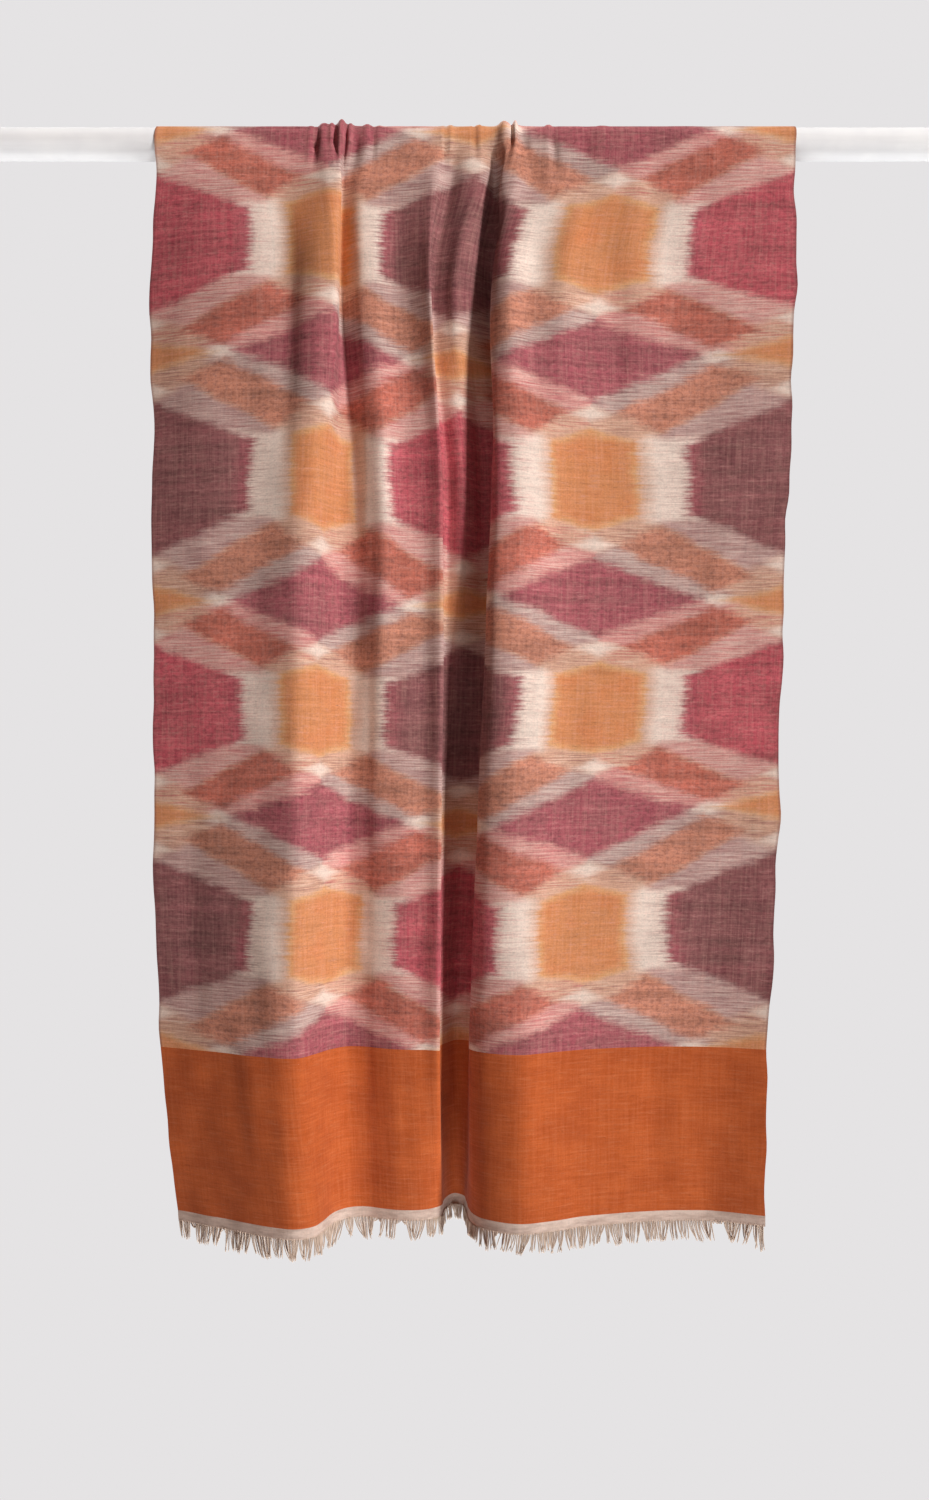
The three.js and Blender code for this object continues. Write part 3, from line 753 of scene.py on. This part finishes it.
def ikat():
    net = Net("ikat_weave")
    u, v = net.uv("flat")
    p0, q0 = net.uv("lattice")
    warps, wefts, cross, height = weave(net, u, v)

    # Each weft thread was dyed before weaving, so its colours sit a little to one side of its neighbours'.
    thread = net.noise(u * 0.012, v * 0.5, 21.0, detail=2.0, rough=0.75) - 0.5
    bundle = net.noise(u * 0.01, v * 0.2, 23.0, detail=1.0) - 0.5
    drift = net.noise(u * 0.02, v * 0.02, 27.0, detail=0.0) - 0.5
    p = p0 + (thread * 15.0 + bundle * 7.0 + drift * 6.0) / 350.0
    rise = net.noise(u * 0.03, v * 0.02, 31.0, detail=1.0) - 0.5
    q = q0 + rise * 0.03

    column = net.math("ROUND", p)
    xi = abs(p - column) * 350.0
    row = net.math("FLOOR", q)
    level = net.math("ROUND", q)
    w = abs(q - level) * 220.0
    parity = net.math("FLOORED_MODULO", column + row, 2.0)  # 0: crimson, brick; 1: plum, brown

    # Inside each figure, in millimetres from its edge: the wide diamond between columns, the leaves round it, the
    # big hexagon on each column, the orange one between them, and the small diamond on the column.
    diamond_in = (xi - 81.0) * 0.375 - w * 0.927
    leaf_1 = w * 0.888 - xi * 0.459 + 24.4
    leaf_2 = (xi - 70.0) * 0.366 + (w - 8.7) * 0.931
    leaf_3 = (xi - 38.0) * 0.474 - (w - 24.5) * 0.881
    leaf_4 = (117.0 - xi) * 0.479 - (w - 63.8) * 0.878
    leaf_in = leaf_1.min(leaf_2).min(leaf_3).min(leaf_4) + 1.5
    hex_side = (w - 48.0) * 0.944 - (xi - 14.0) * 0.355
    hex_in = hex_side.min((96.0 - xi) * 0.75)
    orange_side = (xi - 129.0) * 0.2425 + (w - 75.0) * 0.970
    orange_in = orange_side.min((xi - 131.0) * 0.9)
    small_in = (14.0 - w) * 0.970 - xi * 0.2425

    streak = net.noise(u * 0.022, v * 0.55, 37.0, detail=3.0, rough=0.65) - 0.5
    blot = net.noise(u * 0.11, v * 0.16, 39.0, detail=2.0, rough=0.6) - 0.5
    edge = streak * 15.0 + blot * 9.0

    # The pale bands between the figures take some colour from each side. Only the upright bars stay cream.
    pale = net.mix(net.step(64.0, 75.0, w + edge * 0.5) * net.step(152, 134, xi), PEACH_BAND, CREAM)
    band = net.mix(parity, PINK_BAND, GREY_BAND)
    pale = net.mix(net.step(17.0, 6.0, abs(diamond_in + 8.0)), pale, band)
    side_band = net.mix(parity, ROSE_BAND, LILAC_BAND)
    beside = net.step(2.0, -6.0, leaf_3) * net.step(124, 108, xi) * net.step(-11.0, -18.0, small_in)
    pale = net.mix(beside * net.step(77.0, 68.0, w + edge * 0.4), pale, side_band)
    above = net.step(-24.0, -16.0, orange_side) * net.step(116, 132, xi)
    pale = net.mix(above * 0.9, pale, PEACH_BAND)
    pale = net.mix(net.step(16.0, 5.0, abs(leaf_2 + 6.0)) * net.step(72, 40, xi) * 0.85, pale, PEACH_BAND)
    # Stray threads of the neighbours' dye run through them.
    stray = net.noise(u * 0.03, v * 0.75, 41.0, detail=3.0, rough=0.7)
    in_band = net.step(120, 92, xi).max(net.step(74.0, 60.0, w))
    deep = net.mix(parity, CRIMSON, PLUM)
    pale = net.mix(net.step(0.44, 0.70, stray) * (0.10 + in_band * 0.60), pale, deep)
    pale = net.mix(net.step(0.52, 0.30, stray) * (in_band * 0.42), pale, CREAM)
    # Where bands cross, the thread was tied twice and is nearly undyed.
    for cx, cw, rx, rw in ((175.0, 50.0, 24.0, 10.0), (67.0, 0.0, 23.0, 9.5), (0.0, 33.0, 22.0, 9.5)):
        near = net.step(1.25, 0.25, abs(xi - cx) * (1.0 / rx) + abs(w - cw) * (1.0 / rw) + streak * 0.7)
        pale = net.mix(near * 0.88, pale, CREAM)

    blotch = net.noise(u * 0.022, v * 0.03, 43.0, detail=3.0, rough=0.6)
    fine = net.noise(u * 0.07, v * 0.4, 47.0, detail=3.0, rough=0.65)

    diamond = net.mix(net.step(0.38, 0.66, blotch), DIAMOND, DIAMOND_DARK)
    leaf = net.mix(parity, BRICK, BROWN)
    hexagon = net.mix(parity, CRIMSON, PLUM)
    hexagon = net.mix(net.step(76.0, 92.0, xi + edge * 0.6) * 0.5, hexagon, BLEED)
    orange = net.mix(net.step(-2.0, 9.0, orange_in + edge * 0.6), YELLOWED, ORANGE)
    orange = net.mix(net.step(0.42, 0.7, blotch) * 0.5, orange, ORANGE_DEEP)
    small = net.mix(net.step(-4.0, 7.0, small_in + edge * 0.4), YELLOWED, ORANGE)

    colour = pale
    colour = net.mix(net.step(-5.5, 4.0, small_in + edge * 0.6) * 0.92, colour, small)
    colour = net.mix(net.step(-3.2, 2.6, orange_in + edge * 0.36) * 0.97, colour, orange)
    colour = net.mix(net.step(-5.0, 5.0, leaf_in + edge * 0.8) * 0.94, colour, leaf)
    colour = net.mix(net.step(-5.0, 5.0, diamond_in + edge * 0.8) * 0.95, colour, diamond)
    colour = net.mix(net.step(-4.5, 4.5, hex_in + edge * 0.7) * 0.97, colour, hexagon)

    # Threads of the other colours show through everywhere.
    mottle = net.noise(u * 0.2, v * 0.28, 57.0, detail=3.0, rough=0.7)
    dyed = net.step(-6.0, 4.0, hex_in.max(leaf_in).max(diamond_in))
    colour = net.mix(net.step(0.5, 0.78, fine) * 0.30, colour, ROSE_BAND)
    colour = net.mix(net.step(0.48, 0.22, fine) * (0.16 + dyed * 0.24), colour, DARK_DYE_AND_EDGE_SHADE)
    colour = net.mix(net.step(0.52, 0.36, mottle) * (0.06 + dyed * 0.22), colour, DARK_DYE_AND_EDGE_SHADE)
    courses = net.noise(u * 0.006, v * 0.12, 67.0, detail=3.0, rough=0.6) - 0.5
    tone = (blotch - 0.5) * (0.5 + dyed * 0.5) + courses * (0.25 + dyed * 1.0) + (mottle - 0.5) * (0.2 + dyed * 0.6)
    colour = net.mix(1.0, colour, net.grey(1.0 + tone), "MULTIPLY")
    # Both selvedges darken towards the very edge: painted shade of the cloth curling back there, laid on in the dark
    # dye colour.
    painted_selvedge_shade = net.step(3.0, 0.6, u).max(net.step(697.0, 699.4, u))
    colour = net.mix(painted_selvedge_shade * 0.45, colour, DARK_DYE_AND_EDGE_SHADE)
    return cloth_finish(net, colour, warps, wefts, cross, height, 53.0)


def terracotta():
    net = Net("terracotta_weave")
    u, v = net.uv("flat")
    warps, wefts, cross, height = weave(net, u, v)
    blotch = net.noise(u * 0.02, v * 0.035, 61.0, detail=4.0, rough=0.65)
    fine = net.noise(u * 0.05, v * 0.5, 71.0, detail=3.0, rough=0.65)
    colour = net.mix(net.step(0.3, 0.7, blotch) * 0.45, TERRACOTTA, TERRACOTTA_DEEP)
    colour = net.mix(net.step(0.48, 0.8, fine) * 0.35, colour, HEATHER)
    colour = net.mix(net.step(0.46, 0.2, fine) * 0.30, colour, TERRACOTTA_DEEP)
    return cloth_finish(net, colour, warps, wefts, cross, height, 73.0, 0.8, HEATHER)


def ecru():
    net = Net("ecru_weave")
    u, v = net.uv("flat")
    warps, wefts, cross, height = weave(net, u, v)
    blotch = net.noise(u * 0.05, v * 0.2, 79.0, detail=2.0, rough=0.6)
    colour = net.mix(net.step(0.35, 0.7, blotch), ECRU, ECRU_DEEP)
    return cloth_finish(net, colour, warps, wefts, cross, height, 83.0, 0.7)


def yarn():
    net = Net("ecru_yarn")
    u, v = net.uv("strand")
    tone = net.noise(u * 3.1, v * 0.12, 83.0, detail=2.0, rough=0.6)
    twist = net.math("SINE", v * 4.2 + u * 6.283)
    colour = net.mix(net.step(0.3, 0.7, tone), linear("#d3c0b0"), linear("#ae9989"))
    # The twist's sine also makes the colour lighter and darker in bands along the strand: painted highlight on the
    # twist's ridges and painted shade in its grooves.
    colour = net.mix(1.0, colour, net.grey(1.0 + twist * 0.06), "MULTIPLY")
    return net.finish(colour, 0.92, twist, bump=0.25, distance=0.0003, sheen=0.1, specular=0.15)


def rod_paint():
    net = Net("rod_paint")
    c = net.node("ShaderNodeTexCoord")
    s = net.node("ShaderNodeSeparateXYZ")
    net.tree.links.new(c.outputs["Object"], s.inputs[0])
    x, y, z = (Val(net, s.outputs[i]) for i in range(3))
    grain = net.noise(x * 14.0, y * 260.0, z * 260.0, detail=3.0)
    mottle = net.noise(x * 40.0, y * 40.0, z * 40.0, detail=2.0)
    colour = net.mix(net.step(0.3, 0.7, mottle), linear("#f0f3f5"), linear("#eaedf0"))
    colour = net.mix(net.step(0.45, 0.75, grain) * 0.25, colour, linear("#dfe2e4"))
    rough = 0.42 + mottle * 0.12
    return net.finish(colour, rough, grain, bump=0.12, distance=0.0003, specular=0.35)


# ---------------------------------------------------------------- camera: the rod is level, seen a little from below it
camera = bpy.data.cameras.new("camera")
camera.sensor_fit = "VERTICAL"
camera.sensor_height = 36.0
camera.sensor_width = 36.0
camera.lens = 36.0 * 0.92
camera.clip_start, camera.clip_end = 0.05, 60.0
eye = bpy.data.objects.new("camera", camera)
eye.location = (0.0, -1.3248, -0.5812)
eye.rotation_euler = (math.radians(90), 0, 0)
bpy.context.scene.collection.objects.link(eye)
bpy.context.scene.camera = eye

# ---------------------------------------------------------------- the stole
MAT_FIELD, MAT_BAND, MAT_ECRU, MAT_YARN = ikat(), terracotta(), ecru(), yarn()

points, along = cloth_grid()
p, q = lattice(U, along)
flat_uv = np.stack([np.broadcast_to(U[None, :], p.shape), np.broadcast_to(along[:, None], p.shape)], -1)
middle = (along[:-1] + along[1:]) / 2
front_field, front_band = QUARTER + FRONT_BAND_TOP, QUARTER + FRONT_BAND_END
back_field, back_band = -(QUARTER + BACK_BAND_TOP), -(QUARTER + BACK_BAND_END)
row_material = np.where(
    (middle > front_band) | (middle < back_band), 2, np.where((middle > front_field) | (middle < back_field), 1, 0)
)
bake_rows = 0.004 + 0.991 * (along[0] - along) / (along[0] - along[-1])
stole = shell(
    "stole_cloth",
    points,
    THICK,
    {"flat": flat_uv, "lattice": np.stack([p, q], -1)},
    bake_rows,
    row_material,
    [MAT_FIELD, MAT_BAND, MAT_ECRU],
)


# ---------------------------------------------------------------- the fringes
def fringe(name, at_edge, down_edge, out_sign, seed, notes):
    """Loose warp ends below a woven edge. at_edge(u) gives the edge's points, down_edge(u) the way the cloth runs
    there. notes is a list of (cut from, cut to, length factor, sideways lean, gap?)."""
    rng = random.Random(seed)
    strands = []
    u = 1.0
    while u < CUT_WIDTH - 1.0:
        strands.append(u)
        u += rng.uniform(1.15, 1.75)
    verts, faces, uv = [], [], []
    group, left, lean, reach = 0, 0, 0.0, 1.0
    for k, cut in enumerate(strands):
        if left <= 0:
            left = rng.randint(3, 10)
            group += 1
            lean = rng.uniform(-0.30, 0.30)
            reach = rng.uniform(0.86, 1.14)
            centre = cut + left * 0.7
        left -= 1
        length, extra, skip = FRINGE * reach * rng.uniform(0.92, 1.06), lean, False
        curl = rng.uniform(-0.12, 0.12)
        for a, b, factor, push, gap in notes:
            if a <= cut <= b:
                length *= factor
                extra += push
                skip = skip or (gap and rng.random() < gap)
        if skip:
            length *= 0.25
        o = at_edge(cut)
        d = down_edge(cut)
        side = at_edge(min(cut + 1.0, CUT_WIDTH)) - at_edge(max(cut - 1.0, 0.0))
        side = side / np.linalg.norm(side)
        normal = np.cross(d, side)
        normal = normal / np.linalg.norm(normal)
        pull = (centre - cut) * 0.55
        radius = rng.uniform(0.55, 0.8)
        wave, phase = rng.uniform(0.2, 0.8), rng.uniform(0, 6.28)
        sides, steps = 5, 8
        base = len(verts)
        depth = rng.uniform(-0.35, 0.35)
        for j in range(steps + 1):
            t = j / steps
            bend = extra * length * t**1.3 + pull * t * t + curl * length * t * t
            sway = wave * math.sin(phase + 5.0 * t) * t
            c = o + d * (length * t - 1.0 * (1 - t)) + side * (bend + sway) + normal * (depth + wave * math.cos(phase + 4.0 * t) * t)
            r = radius * (1.0 - 0.25 * t) * (0.55 if j == steps else 1.0)
            for s in range(sides):
                a = 2 * math.pi * s / sides
                verts.append(tuple((c + side * r * math.cos(a) + normal * r * math.sin(a)) * MM))
                uv.append((k * 0.37 + s / sides, length * t))
        for j in range(steps):
            for s in range(sides):
                a, b = base + j * sides + s, base + j * sides + (s + 1) % sides
                faces.append((a, b, b + sides, a + sides))
        faces.append(tuple(base + s for s in reversed(range(sides))))
        faces.append(tuple(base + steps * sides + s for s in range(sides)))
    mesh = bpy.data.meshes.new(name)
    mesh.from_pydata(verts, [], faces)
    layer = mesh.uv_layers.new(name="strand")
    index = np.empty(len(mesh.loops), np.int32)
    mesh.loops.foreach_get("vertex_index", index)
    layer.data.foreach_set("uv", np.array(uv, np.float32)[index].reshape(-1))
    mesh.polygons.foreach_set("use_smooth", np.ones(len(mesh.polygons), bool))
    mesh.materials.append(MAT_YARN)
    mesh.update()
    obj = bpy.data.objects.new(name, mesh)
    bpy.context.scene.collection.objects.link(obj)
    return obj


def edge_of(row, other):
    """The woven edge as a curve of the cut, and the way the cloth runs there, from two rows of the grid."""
    a, b = points[row], points[other]
    run = a - b
    run = run / np.linalg.norm(run, axis=-1, keepdims=True)

    def at(cut):
        return np.array([np.interp(cut, U, a[:, i]) for i in range(3)])

    def down(cut):
        d = np.array([np.interp(cut, U, run[:, i]) for i in range(3)])
        d[2] -= 0.6
        return d / np.linalg.norm(d)

    return at, down


front_edge = edge_of(0, 3)
back_edge = edge_of(-1, -4)
FRONT_FRINGE = [
    (0, 12, 1.0, -0.10, 0),
    (13, 19, 0.9, 0.0, 0.75),
    (48, 54, 0.8, 0.0, 0.9),
    (166, 171, 0.8, 0.0, 0.7),
    (176, 200, 1.15, -0.2, 0),
    (232, 238, 0.8, 0.0, 0.8),
    (254, 262, 0.8, 0.0, 0.85),
    (318, 420, 0.8, 0.1, 0.1),
    (440, 446, 0.8, -0.4, 0.7),
    (651, 662, 0.5, 0.0, 0.95),
    (663, 690, 0.95, -0.12, 0),
    (691, 700, 1.3, 0.12, 0),
]
BACK_FRINGE = [
    (30, 36, 0.8, 0.0, 0.8),
    (118, 123, 0.8, 0.1, 0.8),
    (240, 260, 0.9, -0.12, 0),
    (331, 337, 0.8, 0.0, 0.8),
    (470, 476, 0.7, 0.0, 0.8),
    (560, 585, 1.1, 0.15, 0),
    (690, 700, 1.2, 0.1, 0),
]
fringe_front = fringe("stole_fringe_front", front_edge[0], front_edge[1], -1, 5, FRONT_FRINGE)
fringe_back = fringe("stole_fringe_back", back_edge[0], back_edge[1], 1, 6, BACK_FRINGE)

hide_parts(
    "field_front",
    "field_over_rod",
    "field_back",
    "end_band_front",
    "end_band_back",
    "woven_edge_front",
    "woven_edge_back",
)
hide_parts("fringe_front")
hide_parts("fringe_back")
for piece, slot in ((stole, "ikat_cloth"), (fringe_front, "ecru_cloth"), (fringe_back, "ecru_cloth")):
    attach(piece, "root")
(along[0] - along[-1]) * MM

# ---------------------------------------------------------------- the rod keeps its CAD shape
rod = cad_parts["rod"]
rod.data.materials.clear()
rod.data.materials.append(rod_paint())

# ---------------------------------------------------------------- plain studio
PALE = linear("#e5e3e4")


def studio():
    """A plain pale floor that sweeps up all round into a plain pale backdrop."""
    profile = [(0.0, -1.75), (3.2, -1.75)]
    for i in range(1, 13):
        a = math.pi / 2 * i / 12
        profile.append((3.2 + 1.8 * math.sin(a), -1.75 + 1.8 * (1 - math.cos(a))))
    profile += [(5.0, 2.5)]
    for i in range(1, 13):
        a = math.pi / 2 * i / 12
        profile.append((5.0 * math.cos(a), 2.5 + 2.5 * math.sin(a)))
    n = 64
    verts, faces = [], []
    for r, z in profile:
        for k in range(n):
            a = 2 * math.pi * k / n
            verts.append((r * math.cos(a), r * math.sin(a), z))
    for j in range(len(profile) - 1):
        for k in range(n):
            a, b = j * n + k, j * n + (k + 1) % n
            faces.append((a, a + n, b + n, b))
    mesh = bpy.data.meshes.new("studio")
    mesh.from_pydata(verts, [], faces)
    mesh.polygons.foreach_set("use_smooth", np.ones(len(mesh.polygons), bool))
    net = Net("studio_pale")
    out = net.node("ShaderNodeOutputMaterial")
    e = net.node("ShaderNodeEmission")
    e.inputs["Color"].default_value = PALE
    e.inputs["Strength"].default_value = 1.0
    net.tree.links.new(e.outputs[0], out.inputs[0])
    mesh.materials.append(net.material)
    obj = bpy.data.objects.new("studio", mesh)
    bpy.context.scene.collection.objects.link(obj)
    obj.visible_diffuse = False
    obj.visible_shadow = False
    obj.visible_transmission = False
    return obj


studio()

world = bpy.data.worlds.new("world")
world.use_nodes = True
world.node_tree.nodes["Background"].inputs["Color"].default_value = (1.0, 0.52, 0.37, 1.0)
world.node_tree.nodes["Background"].inputs["Strength"].default_value = 0.13
bpy.context.scene.world = world


def lamp(name, place, target, size, watts, colour=(1, 1, 1)):
    data = bpy.data.lights.new(name, "AREA")
    data.shape = "RECTANGLE"
    data.size, data.size_y = size
    data.energy = watts
    data.color = colour
    obj = bpy.data.objects.new(name, data)
    obj.location = place
    d = np.array(target, float) - np.array(place, float)
    from mathutils import Vector

    obj.rotation_euler = Vector(d).to_track_quat("-Z", "Y").to_euler()
    obj.visible_camera = False
    bpy.context.scene.collection.objects.link(obj)
    return obj


def toward(azimuth, elevation, distance):
    """A place seen from the middle of the cloth: azimuth turns right from straight ahead of the front."""
    a, e = math.radians(azimuth), math.radians(elevation)
    return (
        distance * math.sin(a) * math.cos(e),
        -distance * math.cos(a) * math.cos(e),
        -0.5 + distance * math.sin(e),
    )


MIDDLE = (0.0, 0.0, -0.5)
lamp("key", toward(50, 34, 14.0), MIDDLE, (1.9, 1.9), 2420, (1.0, 0.985, 0.965))
lamp("under", toward(20, -86, 3.4), MIDDLE, (1.8, 1.8), 170, (0.98, 1.0, 1.0))
lamp("back_key", toward(218, 34, 6.0), MIDDLE, (1.2, 1.2), 400, (1.0, 0.99, 0.97))
lamp("back_fill", toward(140, 10, 4.5), MIDDLE, (2.2, 2.2), 60)

bpy.context.scene.view_settings.view_transform = "Standard"
bpy.context.scene.view_settings.look = "None"
